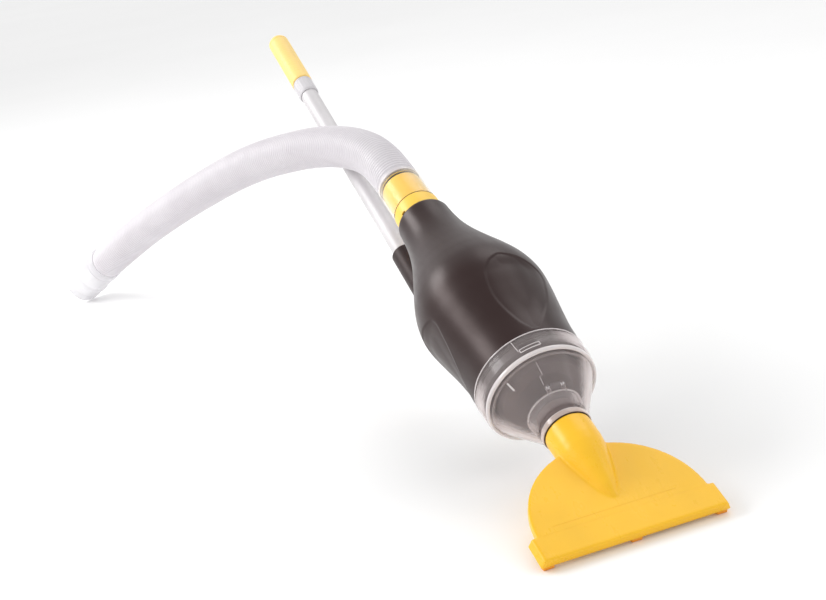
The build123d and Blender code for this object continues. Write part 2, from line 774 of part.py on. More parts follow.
def pole_lock_collar():
    ring = turned(
        (POLE_R + CLEAR, POLE_OUT - COLLAR_LONG + 2),
        (COLLAR_R - 0.8, POLE_OUT - COLLAR_LONG + 2),
        (COLLAR_R, POLE_OUT - COLLAR_LONG + 5),
        (COLLAR_R, POLE_OUT + 1),
        (COLLAR_R - 0.8, POLE_OUT + 2),
        (INNER_R + GAP, POLE_OUT + 2),
        (INNER_R + GAP, POLE_OUT + 0.4),
        (POLE_R + CLEAR, POLE_OUT + 0.4),
    )
    for rib in turned_copies(block(COLLAR_R - 0.5, COLLAR_R + 0.25, -0.5, 0.5, POLE_OUT - 18, POLE_OUT - 2), 18):
        ring += rib
    return on_pole(ring)


def pole_grip():
    start = POLE_GRIP_AT - GRIP_LONG / 2
    sleeve = turned(
        (INNER_R, start),
        (GRIP_R - 1, start),
        (GRIP_R, start + 1.5),
        (GRIP_R, start + GRIP_LONG),
        (INNER_R, start + GRIP_LONG),
    )
    return on_pole(sleeve)


def grip_cap():
    end = POLE_GRIP_AT + GRIP_LONG / 2
    cap = turned(
        (0, end - 6),
        (INNER_R, end - 6),
        (INNER_R, end),
        (GRIP_R, end),
        (GRIP_R, end + 3.0),
        (GRIP_R - 1.6, end + 6.0),
        (GRIP_R - 5.0, end + 8.0),
        (0, end + 8.6),
    )
    return on_pole(cap)


# ---------------------------------------------------------------- build and export
path = hose_path()
parts = {
    "nozzle_head": nozzle_head(),
    "nozzle_feet": nozzle_feet(),
    "nozzle_o_ring": nozzle_o_ring(),
    "debris_chamber": debris_chamber(),
    "intake_tube": intake_tube(),
    "flap_pin": flap_pin(),
    "flap_valve": flap_valve(),
    "bulb_housing": bulb_housing(),
    "chamber_seal": chamber_seal(),
    "pump_cover": pump_cover(),
    "cover_screws": cover_screws(),
    "strainer_cone": strainer_cone(),
    "motor_shaft": motor_shaft(),
    "impeller": impeller(),
    "capsule_lid": capsule_lid(),
    "shaft_seal": shaft_seal(),
    "lid_seal": lid_seal(),
    "capsule_body": capsule_body(),
    "lid_screws": lid_screws(),
    "motor_can": motor_can(),
    "motor_clamp": motor_clamp(),
    "battery_cells": battery_cells(),
    "cell_holder": cell_holder(),
    "contact_springs": contact_springs(),
    "contact_plates": contact_plates(),
    "reed_switch": reed_switch(),
    "switch_base": switch_base(),
    "switch_slider": switch_slider(),
    "slider_magnet": slider_magnet(),
    "outlet_lock_ring": outlet_lock_ring(),
    "outlet_spigot": outlet_spigot(),
    "spigot_o_ring": spigot_o_ring(),
    "hose_inlet_cuff": hose_inlet_cuff(),
    "pole_socket": pole_socket(),
    "socket_screws": socket_screws(),
    "pole_outer_tube": pole_outer_tube(),
    "pole_button": pole_button(),
    "button_spring": button_spring(),
    "pole_inner_tube": pole_inner_tube(),
    "pole_glide": pole_glide(),
    "pole_lock_collar": pole_lock_collar(),
    "pole_grip": pole_grip(),
    "grip_cap": grip_cap(),
}
placed = {name: tool_frame.location * shape for name, shape in parts.items()}
placed["discharge_hose"] = discharge_hose(path)
placed["hose_end_cuff"] = hose_end_cuff(path)

for name, shape in placed.items():
    export_step(shape, f"parts/{name}.step")

print("floor z", round(FLOOR_Z, 2), "lip y", round(LIP_Y, 2))
print("nodes", len(placed))
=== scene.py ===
"""Looks of the hand-held pool cleaner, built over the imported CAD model."""
import bpy
import bmesh
import math
from mathutils import Matrix, Vector


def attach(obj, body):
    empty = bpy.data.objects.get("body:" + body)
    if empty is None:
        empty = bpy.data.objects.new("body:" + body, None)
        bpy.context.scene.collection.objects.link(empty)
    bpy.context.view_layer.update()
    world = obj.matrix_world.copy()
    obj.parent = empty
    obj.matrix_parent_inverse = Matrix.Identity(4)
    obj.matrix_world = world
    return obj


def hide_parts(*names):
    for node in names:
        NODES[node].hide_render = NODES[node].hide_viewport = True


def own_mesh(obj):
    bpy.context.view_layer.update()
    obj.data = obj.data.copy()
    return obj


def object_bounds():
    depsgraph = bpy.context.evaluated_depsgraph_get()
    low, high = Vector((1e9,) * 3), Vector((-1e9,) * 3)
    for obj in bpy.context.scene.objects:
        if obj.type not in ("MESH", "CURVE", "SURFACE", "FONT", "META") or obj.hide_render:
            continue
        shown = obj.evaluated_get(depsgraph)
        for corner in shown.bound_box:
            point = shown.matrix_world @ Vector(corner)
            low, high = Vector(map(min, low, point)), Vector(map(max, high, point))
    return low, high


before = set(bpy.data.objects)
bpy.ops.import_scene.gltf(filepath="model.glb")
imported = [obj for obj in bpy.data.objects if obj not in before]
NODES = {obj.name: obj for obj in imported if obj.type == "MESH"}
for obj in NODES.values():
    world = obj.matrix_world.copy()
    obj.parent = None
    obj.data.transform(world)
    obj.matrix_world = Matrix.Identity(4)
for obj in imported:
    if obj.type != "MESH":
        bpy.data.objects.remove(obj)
CAD_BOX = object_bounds()
MM = 0.001

# ---------------------------------------------------------------- frames
# The tool frame is the CAD's: X across, Y to the pole side, Z the station along the tool axis.
TILT = math.radians(24.0)
POLE_SLOPE = math.radians(3.75)
POLE_TOP = (87.3, 541.0)
GRIP_AT = 405.0  # grip centre along the pole, where the row has its origin
grip_y = POLE_TOP[0] - GRIP_AT * math.sin(POLE_SLOPE)
grip_z = POLE_TOP[1] + GRIP_AT * math.cos(POLE_SLOPE)
ALONG = Vector((0, math.cos(TILT), math.sin(TILT)))
TO_POLE = Vector((0, math.sin(TILT), -math.cos(TILT)))
origin = -(TO_POLE * grip_y + ALONG * grip_z) * MM
TOOL = Matrix((
    (1, 0, 0, origin.x),
    (0, TO_POLE.y, ALONG.y, origin.y),
    (0, TO_POLE.z, ALONG.z, origin.z),
    (0, 0, 0, 1),
))
# the pole's own frame: Z along the pole, with 0 where the pole leaves its socket
POLE_FOOT = Matrix.Translation((0, POLE_TOP[0] * MM, POLE_TOP[1] * MM))
POLE = TOOL @ POLE_FOOT @ Matrix.Rotation(POLE_SLOPE, 4, "X")
FLOOR_Z = CAD_BOX[0].z
PLAIN = Matrix.Identity(4)
THIRDS = (0, 120, 240)  # turns, in degrees, of what is repeated three times round the axis


# ---------------------------------------------------------------- materials
def new_material(name):
    material = bpy.data.materials.new(name)
    material.use_nodes = True
    tree = material.node_tree
    return material, tree, tree.nodes["Principled BSDF"]


def add(tree, kind, **values):
    node = tree.nodes.new(kind)
    for key, value in values.items():
        setattr(node, key, value)
    return node


def noise_node(tree, scale, detail=4.0, rough=0.55, stretch=None):
    """Noise in object space with scale cells a metre. stretch is three scales and a turn about X."""
    coords = add(tree, "ShaderNodeTexCoord")
    texture = add(tree, "ShaderNodeTexNoise")
    texture.inputs["Scale"].default_value = scale
    texture.inputs["Detail"].default_value = detail
    texture.inputs["Roughness"].default_value = rough
    if stretch:
        mapping = add(tree, "ShaderNodeMapping")
        mapping.inputs["Rotation"].default_value = (stretch[3], 0, 0)
        mapping.inputs["Scale"].default_value = stretch[:3]
        tree.links.new(coords.outputs["Object"], mapping.inputs["Vector"])
        tree.links.new(mapping.outputs["Vector"], texture.inputs["Vector"])
    else:
        tree.links.new(coords.outputs["Object"], texture.inputs["Vector"])
    return texture.outputs["Fac"]


NOISE_LOW, NOISE_HIGH = 0.32, 0.68  # where nearly all of a noise texture's values lie


def ramp(tree, source, low, high):
    """Maps a noise onto two values or two colours."""
    node = add(tree, "ShaderNodeValToRGB")
    node.color_ramp.elements[0].position = NOISE_LOW
    node.color_ramp.elements[1].position = NOISE_HIGH
    for element, value in zip(node.color_ramp.elements, (low, high)):
        element.color = (*value, 1.0) if isinstance(value, tuple) else (value, value, value, 1.0)
    tree.links.new(source, node.inputs["Fac"])
    return node.outputs["Color"]


def shade(colour, factor):
    return tuple(min(1.0, c * factor) for c in colour)


def bump(tree, shader, layers):
    """Stacks bump layers of (height, distance in metres, strength) on a shader."""
    last = None
    for height, distance, strength in layers:
        node = add(tree, "ShaderNodeBump")
        node.inputs["Distance"].default_value = distance
        node.inputs["Strength"].default_value = strength
        tree.links.new(height, node.inputs["Height"])
        if last:
            tree.links.new(last, node.inputs["Normal"])
        last = node.outputs["Normal"]
    tree.links.new(last, shader.inputs["Normal"])


def plastic(name, colour, rough, grain=900.0, grain_depth=0.00004, coat=0.0, glow=0.0, shine=0.5,
            grain_hold=0.3, tint=(1.0, 1.0)):
    """Moulded plastic: faint clouding of the colour, uneven gloss, fine grain and hairline scuffs.
    tint is the green and blue of the gloss beside a red of 1."""
    material, tree, shader = new_material(name)
    clouds = noise_node(tree, 14.0)
    clouded = ramp(tree, clouds, shade(colour, 0.95), shade(colour, 1.05))
    tree.links.new(clouded, shader.inputs["Base Color"])
    scuffs = noise_node(tree, 60.0, 6.0, 0.7, (1.0, 0.12, 1.0, TILT))
    tree.links.new(ramp(tree, scuffs, rough[0], rough[1]), shader.inputs["Roughness"])
    fine = noise_node(tree, grain, 2.0)
    wave = noise_node(tree, 38.0, 2.0)
    bump(tree, shader, [(wave, 0.0004, 0.08), (fine, grain_depth, grain_hold)])
    shader.inputs["Specular IOR Level"].default_value = shine
    shader.inputs["Specular Tint"].default_value = (1.0, *tint, 1.0)
    shader.inputs["Coat Weight"].default_value = coat
    shader.inputs["Coat Roughness"].default_value = 0.12
    shader.inputs["Subsurface Weight"].default_value = glow
    shader.inputs["Subsurface Radius"].default_value = (0.004, 0.0025, 0.0012)
    shader.inputs["Subsurface Scale"].default_value = 1.0
    return material


def clear_plastic(name, colour, thin, dense, rough=0.07):
    """Clear moulding: its opacity is thin seen face on and dense seen edge on."""
    material, tree, shader = new_material(name)
    clouds = noise_node(tree, 22.0)
    tree.links.new(ramp(tree, clouds, shade(colour, 0.9), colour), shader.inputs["Base Color"])
    flow = noise_node(tree, 45.0, 3.0, 0.5)
    tree.links.new(ramp(tree, flow, rough, rough + 0.06), shader.inputs["Roughness"])
    edge = add(tree, "ShaderNodeLayerWeight")
    edge.inputs["Blend"].default_value = 0.35
    tree.links.new(ramp(tree, edge.outputs["Facing"], thin, dense), shader.inputs["Alpha"])
    fine = noise_node(tree, 160.0, 3.0)
    bump(tree, shader, [(flow, 0.0006, 0.16), (fine, 0.0001, 0.12)])
    shader.inputs["Specular IOR Level"].default_value = 0.75
    shader.inputs["Coat Weight"].default_value = 0.6
    shader.inputs["Coat Roughness"].default_value = 0.05
    return material


def metal(name, colour, rough, metallic=1.0):
    """Drawn or turned metal with fine lines along its length."""
    material, tree, shader = new_material(name)
    lines = noise_node(tree, 900.0, 2.0, 0.5, (1.0, 0.02, 1.0, TILT + POLE_SLOPE))
    clouds = noise_node(tree, 18.0)
    clouded = ramp(tree, clouds, shade(colour, 0.93), shade(colour, 1.05))
    tree.links.new(clouded, shader.inputs["Base Color"])
    tree.links.new(ramp(tree, lines, rough[0], rough[1]), shader.inputs["Roughness"])
    shader.inputs["Metallic"].default_value = metallic
    bump(tree, shader, [(lines, 0.00002, 0.25)])
    return material


def rubber(name, colour):
    material, tree, shader = new_material(name)
    clouds = noise_node(tree, 90.0)
    clouded = ramp(tree, clouds, shade(colour, 0.85), shade(colour, 1.2))
    tree.links.new(clouded, shader.inputs["Base Color"])
    fine = noise_node(tree, 1400.0, 2.0)
    tree.links.new(ramp(tree, clouds, 0.55, 0.75), shader.inputs["Roughness"])
    bump(tree, shader, [(fine, 0.00005, 0.4)])
    return material


YELLOW = plastic("nozzle_yellow_plastic", (0.94, 0.53, 0.018), (0.24, 0.36), glow=0.05, shine=0.4)
# the feet are drawn a darker orange than the nozzle: painted shade and warm bounce under the lip, given
# as the feet's colour
FOOT_SHADE_ORANGE = plastic("foot_shade_orange_plastic", (0.86, 0.34, 0.02), (0.4, 0.55))
OUTLET = plastic("outlet_yellow_plastic", (0.95, 0.60, 0.09), (0.3, 0.42), glow=0.1, shine=0.35)
GRIP = plastic("grip_yellow_plastic", (0.93, 0.66, 0.22), (0.42, 0.58), 700.0, 0.00008, glow=0.05)
COLLAR = plastic("collar_grey_plastic", (0.60, 0.58, 0.60), (0.34, 0.48), 800.0, 0.00006)
BROWN = plastic("housing_brown_plastic", (0.022, 0.0105, 0.0100), (0.30, 0.38), 1200.0, 0.00001,
                shine=0.34, grain_hold=0.1, tint=(0.84, 0.82))
BLACK = plastic("inner_black_plastic", (0.022, 0.012, 0.012), (0.40, 0.52), 800.0, 0.00004, shine=0.34,
                tint=(0.86, 0.84))
SKIRT = plastic("skirt_grey_plastic", (0.040, 0.026, 0.026), (0.34, 0.46), 800.0, 0.00005)
STRAINER = plastic("strainer_grey_plastic", (0.070, 0.047, 0.047), (0.5, 0.62), 800.0, 0.00005)
SLEEVED = plastic("nozzle_spigot_sleeve", (0.075, 0.034, 0.030), (0.4, 0.5), 800.0, 0.00005)
WHITE = plastic("inner_white_plastic", (0.74, 0.73, 0.70), (0.4, 0.55))
CLEAR = clear_plastic("clear_shell_plastic", (0.90, 0.79, 0.78), 0.10, 0.80)
# the rims and small ridges of the clear mouldings are real; their whiter, nearly opaque plastic is a
# painted highlight where light catches them
CLEAR_RIM_HIGHLIGHT = clear_plastic("clear_rim_painted_highlight", (0.97, 0.91, 0.91), 0.60, 0.95)
NECK = clear_plastic("clear_neck_plastic", (0.86, 0.70, 0.63), 0.45, 0.90)
SLEEVE = clear_plastic("clear_sleeve_plastic", (0.95, 0.85, 0.66), 0.04, 0.42, 0.12)
CUFF = clear_plastic("clear_cuff_plastic", (0.80, 0.78, 0.81), 0.55, 0.90, 0.22)
STEEL = metal("steel_bright", (0.62, 0.62, 0.64), (0.2, 0.35))
SPRING = metal("contact_spring_metal", (0.72, 0.70, 0.66), (0.18, 0.3))
CAN = metal("motor_can_metal", (0.52, 0.52, 0.53), (0.3, 0.45))
ALUMINIUM = metal("pole_anodised_metal", (0.64, 0.62, 0.63), (0.48, 0.60), 0.25)
JACKET = plastic("cell_jacket_print", (0.05, 0.11, 0.07), (0.25, 0.35), coat=0.3)
SEAL = rubber("seal_black_rubber", (0.030, 0.016, 0.014))
FLAP = rubber("flap_grey_rubber", (0.10, 0.085, 0.088))
GLASS = clear_plastic("reed_glass", (0.85, 0.9, 0.88), 0.2, 0.7)


def hose_material():
    """Milky, slightly see-through wall of a thin corrugated hose."""
    material, tree, shader = new_material("hose_milky_plastic")
    clouds = noise_node(tree, 16.0)
    milky = ramp(tree, clouds, (0.70, 0.665, 0.70), (0.76, 0.73, 0.76))
    tree.links.new(milky, shader.inputs["Base Color"])
    fine = noise_node(tree, 420.0, 3.0)
    tree.links.new(ramp(tree, fine, 0.28, 0.42), shader.inputs["Roughness"])
    edge = add(tree, "ShaderNodeLayerWeight")
    edge.inputs["Blend"].default_value = 0.4
    tree.links.new(ramp(tree, edge.outputs["Facing"], 0.82, 0.98), shader.inputs["Alpha"])
    bump(tree, shader, [(clouds, 0.0006, 0.15), (fine, 0.0001, 0.2)])
    shader.inputs["Subsurface Weight"].default_value = 0.2
    shader.inputs["Subsurface Radius"].default_value = (0.006, 0.006, 0.006)
    return material


HOSE = hose_material()


# ---------------------------------------------------------------- mesh helpers
def finish_mesh(name, verts, faces, matrix, material, sharp=35.0):
    """Makes an object from tool-frame points in mm, shaded smooth up to a crease angle."""
    mesh = bpy.data.meshes.new(name)
    mesh.from_pydata([matrix @ (Vector(v) * MM) for v in verts], [], faces)
    mesh.validate()
    tidy = bmesh.new()
    tidy.from_mesh(mesh)
    bmesh.ops.remove_doubles(tidy, verts=tidy.verts, dist=1e-7)
    bmesh.ops.recalc_face_normals(tidy, faces=tidy.faces)
    tidy.to_mesh(mesh)
    tidy.free()
    for polygon in mesh.polygons:
        polygon.use_smooth = True
    mesh.set_sharp_from_angle(angle=math.radians(sharp))
    obj = bpy.data.objects.new(name, mesh)
    bpy.context.scene.collection.objects.link(obj)
    mesh.materials.append(material)
    return obj


ARC_SHARE = 0.45  # the most of a side that one corner's arc may take
ARC_LEAST = 0.02  # a smaller arc, in mm, isn't worth its points
NEARLY_STRAIGHT = math.radians(172)


def softened(profile, radius, closed=True):
    """The profile with each corner rounded by a small arc."""
    steps = 4
    out = []
    count = len(profile)
    for i, point in enumerate(profile):
        here = Vector(point)
        if not closed and i in (0, count - 1):
            out.append(tuple(here))
            continue
        before = Vector(profile[i - 1]) - here
        after = Vector(profile[(i + 1) % count]) - here
        size = min(radius, ARC_SHARE * before.length, ARC_SHARE * after.length)
        on_axis = here.x <= 1e-6
        if size < ARC_LEAST or on_axis or before.angle(after) > NEARLY_STRAIGHT:
            out.append(tuple(here))
            continue
        start = here + before.normalized() * size
        end = here + after.normalized() * size
        for k in range(steps + 1):
            t = k / steps
            out.append(tuple(start * (1 - t) ** 2 + here * (2 * t * (1 - t)) + end * t**2))
    return out


def lathe(name, profile, matrix, material, segments=144, radius=0.5, closed=True, shape=None,
          sharp=35.0):
    """Turns a profile of (radius, station) corners, in mm, each rounded by radius.
    shape(angle, station, radius) may push each point in or out."""
    rings = softened(profile, radius, closed)
    verts = []
    for r, z in rings:
        for k in range(segments):
            angle = 2 * math.pi * k / segments
            rr = r + (shape(angle, z, r) if shape else 0.0)
            verts.append((rr * math.cos(angle), rr * math.sin(angle), z))
    faces = []
    count = len(rings)
    spans = count if closed else count - 1
    for i in range(spans):
        j = (i + 1) % count
        for k in range(segments):
            m = (k + 1) % segments
            faces.append((i * segments + k, i * segments + m, j * segments + m, j * segments + k))
    return finish_mesh(name, verts, faces, matrix, material, sharp)


def prism(name, outline, low, high, matrix, material, bevel=0.5, axis="z"):
    """A flat outline pushed along axis from low to high, with its sharp edges bevelled."""
    shape = bmesh.new()
    order = {
        "z": lambda a, b, h: (a, b, h),
        "y": lambda a, b, h: (a, h, b),
        "x": lambda a, b, h: (h, a, b),
    }[axis]
    bottom = [shape.verts.new(order(a, b, low)) for a, b in outline]
    top = [shape.verts.new(order(a, b, high)) for a, b in outline]
    shape.faces.new(bottom)
    shape.faces.new(top[::-1])
    for i in range(len(outline)):
        j = (i + 1) % len(outline)
        shape.faces.new((bottom[j], bottom[i], top[i], top[j]))
    bmesh.ops.recalc_face_normals(shape, faces=shape.faces)
    if bevel:
        hard = [e for e in shape.edges if e.calc_face_angle(0) > math.radians(25)]
        bmesh.ops.bevel(
            shape, geom=hard, offset=bevel, segments=3, profile=0.5, affect="EDGES", clamp_overlap=True
        )
    mesh = bpy.data.meshes.new(name)
    shape.to_mesh(mesh)
    shape.free()
    mesh.transform(matrix @ Matrix.Scale(MM, 4))
    for polygon in mesh.polygons:
        polygon.use_smooth = True
    mesh.set_sharp_from_angle(angle=math.radians(40))
    obj = bpy.data.objects.new(name, mesh)
    bpy.context.scene.collection.objects.link(obj)
    mesh.materials.append(material)
    return obj


def joined(name, objects):
    """Joins finished pieces into one object."""
    bpy.ops.object.select_all(action="DESELECT")
    for obj in objects:
        obj.select_set(True)
    bpy.context.view_layer.objects.active = objects[0]
    bpy.ops.object.join()
    objects[0].name = name
    return objects[0]


def applied(obj):
    """Bakes an object's modifiers into its mesh."""
    graph = bpy.context.evaluated_depsgraph_get()
    mesh = bpy.data.meshes.new_from_object(obj.evaluated_get(graph))
    obj.modifiers.clear()
    obj.data = mesh
    return obj


def cut(obj, *cutters):
    """Subtracts closed pieces from an object."""
    for cutter in cutters:
        modifier = obj.modifiers.new("cut", "BOOLEAN")
        modifier.operation = "DIFFERENCE"
        modifier.object = cutter
        modifier.solver = "EXACT"
    applied(obj)
    for cutter in cutters:
        bpy.data.objects.remove(cutter)
    for polygon in obj.data.polygons:
        polygon.use_smooth = True
    obj.data.set_sharp_from_angle(angle=math.radians(32))
    return obj


def put(piece, body, slot, *nodes):
    """Hides the CAD nodes that a piece replaces and hangs the piece on the body that carries it."""
    if nodes:
        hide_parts(*nodes)
    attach(piece, body)
    return piece


def smooth_step(low, high, value):
    t = max(0.0, min(1.0, (value - low) / (high - low)))
    return t * t * (3 - 2 * t)


# ---------------------------------------------------------------- camera
VIEW = Vector((0.288, 0.911, -0.294)).normalized()
UP = Vector((0.240, 0.228, 0.943))
# across, back from the nozzle's lip and above the floor, in metres
CAMERA_ACROSS, CAMERA_BACK, CAMERA_HEIGHT = -0.4994, 1.0568, 0.6030
right = VIEW.cross(UP).normalized()
up = right.cross(VIEW)
camera_data = bpy.data.cameras.new("camera")
camera_data.sensor_width = 36.0
camera_data.lens = 65.4
camera = bpy.data.objects.new("camera", camera_data)
lip_middle = TOOL @ Vector((0, 0, 0))
camera.matrix_world = Matrix((
    (right.x, up.x, -VIEW.x, CAMERA_ACROSS),
    (right.y, up.y, -VIEW.y, lip_middle.y - CAMERA_BACK),
    (right.z, up.z, -VIEW.z, FLOOR_Z + CAMERA_HEIGHT),
    (0, 0, 0, 1),
))
camera_data.clip_start = 0.05
bpy.context.scene.collection.objects.link(camera)
bpy.context.scene.camera = camera

# ---------------------------------------------------------------- hose
HOSE_START = 553.0
HOSE_LEAD = 0.042  # first control point's distance past the start, in metres
HOSE_R = 25.0
HOSE_WALL = 0.9
HOSE_PLAIN = 0.004  # length without ribs at each end, in metres
RIB_PITCH = 4.2
# across, along the floor from the lip, height above the floor, in metres
HOSE_ROUTE = (
    (-0.006, 0.592, 0.262),
    (-0.021, 0.660, 0.262),
    (-0.048, 0.733, 0.253),
    (-0.094, 0.842, 0.227),
    (-0.151, 0.969, 0.175),
    (-0.199, 1.068, 0.128),
    (-0.236, 1.128, 0.091),
    (-0.262, 1.170, 0.0635),
)
hose_exit = TOOL @ Vector((0, 0, HOSE_START * MM))
route = [hose_exit, hose_exit + ALONG * HOSE_LEAD]
route += [Vector((x, lip_middle.y + y, FLOOR_Z + z)) for x, y, z in HOSE_ROUTE]


def spline_points(points):
    """Points read from the NURBS spline that the route controls."""
    curve = bpy.data.curves.new("hose_line", "CURVE")
    curve.dimensions = "3D"
    spline = curve.splines.new("NURBS")
    spline.points.add(len(points) - 1)
    for control, point in zip(spline.points, points):
        control.co = (*point, 1.0)
    spline.order_u = 3
    spline.use_endpoint_u = True
    spline.resolution_u = 24
    obj = bpy.data.objects.new("hose_line", curve)
    bpy.context.scene.collection.objects.link(obj)
    bpy.context.view_layer.update()
    graph = bpy.context.evaluated_depsgraph_get()
    mesh = bpy.data.meshes.new_from_object(obj.evaluated_get(graph))
    line = [v.co.copy() for v in mesh.vertices]
    bpy.data.objects.remove(obj)
    if (line[0] - points[0]).length > (line[-1] - points[0]).length:
        line.reverse()
    return line


class Track:
    """A line with frames that do not twist, read by distance along it."""

    def __init__(self, line):
        self.line = line
        self.along = [0.0]
        for a, b in zip(line, line[1:]):
            self.along.append(self.along[-1] + (b - a).length)
        self.length = self.along[-1]
        self.normals = [Vector((1, 0, 0))]
        for i in range(1, len(line)):
            tangent = self.tangent(i)
            normal = self.normals[-1] - tangent * self.normals[-1].dot(tangent)
            self.normals.append(normal.normalized())

    def tangent(self, i):
        low, high = max(0, i - 1), min(len(self.line) - 1, i + 1)
        return (self.line[high] - self.line[low]).normalized()

    def at(self, distance):
        """Point, tangent and normal at a distance."""
        i = 0
        while i < len(self.line) - 2 and self.along[i + 1] < distance:
            i += 1
        t = (distance - self.along[i]) / max(1e-9, self.along[i + 1] - self.along[i])
        point = self.line[i].lerp(self.line[i + 1], t)
        tangent = self.tangent(i).lerp(self.tangent(i + 1), t).normalized()
        normal = self.normals[i].lerp(self.normals[i + 1], t)
        normal = (normal - tangent * normal.dot(tangent)).normalized()
        return point, tangent, normal


def swept(name, track, rings, material, segments=72):
    """Tube along a track through (distance, radius) rings. The last ring joins the first."""
    verts = []
    for distance, radius in rings:
        point, tangent, normal = track.at(distance)
        side = tangent.cross(normal)
        for k in range(segments):
            angle = 2 * math.pi * k / segments
            verts.append(point + (normal * math.cos(angle) + side * math.sin(angle)) * radius)
    faces = []
    count = len(rings)
    for i in range(count):
        j = (i + 1) % count
        for k in range(segments):
            m = (k + 1) % segments
            faces.append((i * segments + k, i * segments + m, j * segments + m, j * segments + k))
    return finish_mesh(name, [v / MM for v in verts], faces, Matrix.Identity(4), material, 60.0)


def make_hose():
    line = spline_points(route)
    track = Track(line)
    ribbed = track.length - 2 * HOSE_PLAIN
    ribs = int(ribbed / (RIB_PITCH * MM))
    pitch = ribbed / ribs
    outer = [(0.0, (HOSE_R - 1.4) * MM), (HOSE_PLAIN * 0.6, (HOSE_R - 1.3) * MM)]
    # each rib rises, rounds over and falls into a narrow valley
    rib_shape = ((0.0, -1.0), (0.14, -0.75), (0.28, -0.2), (0.5, 0.0), (0.72, -0.2), (0.86, -0.75))
    for i in range(ribs):
        for step, depth in rib_shape:
            outer.append((HOSE_PLAIN + (i + step) * pitch, (HOSE_R + depth) * MM))
    outer += [
        (track.length - HOSE_PLAIN, (HOSE_R - 1.0) * MM), (track.length, (HOSE_R - 1.4) * MM),
    ]
    inner = [(distance, radius - HOSE_WALL * MM) for distance, radius in reversed(outer)]
    hose = swept("discharge_hose_ribbed", track, outer + inner, HOSE, 56)
    return hose, line, track


hose, hose_line, hose_track = make_hose()
cuff_frame = (route[-1] - route[-2]).normalized()
side = cuff_frame.cross(Vector((0, 0, 1))).normalized()
lift = side.cross(cuff_frame)
CUFF_MATRIX = Matrix((
    (side.x, lift.x, cuff_frame.x, route[-1].x),
    (side.y, lift.y, cuff_frame.y, route[-1].y),
    (side.z, lift.z, cuff_frame.z, route[-1].z),
    (0, 0, 0, 1),
))


def make_end_cuff():
    profile = [
        (21.2, 0.2), (24.6, 0.2), (26.4, 3.0), (26.4, 10.0), (25.6, 11.0), (25.6, 13.0),
        (26.4, 14.0), (26.4, 42.0), (28.0, 46.0), (28.0, 52.0), (27.4, 53.0), (27.4, 66.0),
        (28.0, 67.0), (28.0, 80.0), (26.4, 80.0), (23.0, 78.0), (23.0, 12.0), (21.2, 8.0),
    ]
    return lathe("hose_end_cuff_moulded", profile, CUFF_MATRIX, CUFF, 96, 0.7)


end_cuff = make_end_cuff()
put(end_cuff, "housing", "clear_sleeve", "hose_end_cuff")
put(hose, "housing", "hose_clear", "discharge_hose")


# ---------------------------------------------------------------- nozzle
LIP_HALF, LIP_FLARE, LIP_START, LIP_END = 88.5, 3.5, -1.5, 25.5
FAN_R, TOP_Y, SOLE_Y = 83.0, -4.0, 5.0
FOOT_HALF, FOOT_LONG, FOOT_PLACES = 5.0, 6.4, (-84.0, 0.0, 84.0)
TUBE_R, TUBE_START, TUBE_END = 23.5, 106.0, 133.0
SPIGOT_R, SPIGOT_BORE, SPIGOT_END = 20.8, 18.3, 158.0


def fan_outline(radius, steps):
    """Half disc behind the lip, as (x, station)."""
    turns = [math.pi * k / steps for k in range(steps + 1)]
    return [(radius * math.cos(a), LIP_END + radius * math.sin(a)) for a in turns]


MELT_CELL = 0.0011  # the remesh's cell, in metres


def make_nozzle():
    """One moulding: fan, lip and hood melt together, ready for its hollows and lines to be cut."""
    fan = prism("fan", fan_outline(FAN_R, 96), TOP_Y, SOLE_Y, PLAIN, YELLOW, 0, "y")
    band_plan = [(-83, 20), (83, 20), (83, LIP_END + 0.5), (-83, LIP_END + 0.5)]
    band = prism("band", band_plan, TOP_Y, SOLE_Y, PLAIN, YELLOW, 0, "y")
    flare = LIP_HALF + LIP_FLARE
    lip_side = [(-LIP_HALF, TOP_Y), (LIP_HALF, TOP_Y), (flare, SOLE_Y), (-flare, SOLE_Y)]
    lip = prism("lip", lip_side, LIP_START, LIP_END, PLAIN, YELLOW, 0, "z")
    hood = lathe("hood", [
        (0.0, 40.5), (5.4, 43.5), (10.6, 54.5), (15.9, 72.0), (20.4, 90.0), (22.6, 101.0),
        (TUBE_R, 110.0), (TUBE_R, TUBE_END), (SPIGOT_R, TUBE_END + 0.01), (SPIGOT_R, SPIGOT_END),
        (0.0, SPIGOT_END),
    ], PLAIN, YELLOW, 96, 0.3)
    body = joined("nozzle_head_moulded", [fan, band, lip, hood])
    melt = body.modifiers.new("melt", "REMESH")
    melt.mode = "VOXEL"
    melt.voxel_size = MELT_CELL
    melt.adaptivity = 0.0
    relax = body.modifiers.new("relax", "SMOOTH")
    relax.factor = 0.5
    relax.iterations = 5
    applied(body)
    return body


def nozzle_cutters():
    """The flat cavity, the duct, the suction slot and the shallow lines on top."""
    wall = 2.4
    cavity = [*fan_outline(FAN_R - wall, 48), (-81.0, 4.0), (81.0, 4.0)]
    duct = [
        (0.0, 52.0), (1.0, 52.4), (SPIGOT_BORE, TUBE_START), (SPIGOT_BORE, SPIGOT_END + 3),
        (0.0, SPIGOT_END + 3),
    ]
    cutters = [
        prism("hollow", cavity, TOP_Y + 2.0, SOLE_Y - 2.0, PLAIN, YELLOW, 0, "y"),
        lathe("duct", duct, PLAIN, YELLOW, 72, 0.0),
    ]
    # from x, to x, from station, to station, from y, to y
    boxes = (
        ("slot", -80, 80, 6, 20, SOLE_Y - 3.0, SOLE_Y + 3.0),
        ("line_a", -66, 54, LIP_END + 5.2, LIP_END + 6.0, TOP_Y - 2.0, TOP_Y + 0.16),
        ("line_b", -84, 84, LIP_END - 1.2, LIP_END - 0.6, TOP_Y - 2.0, TOP_Y + 0.10),
    )
    for name, x0, x1, z0, z1, y0, y1 in boxes:
        plan = [(x0, z0), (x1, z0), (x1, z1), (x0, z1)]
        cutters.append(prism(name, plan, y0, y1, PLAIN, YELLOW, 0, "y"))
    return cutters


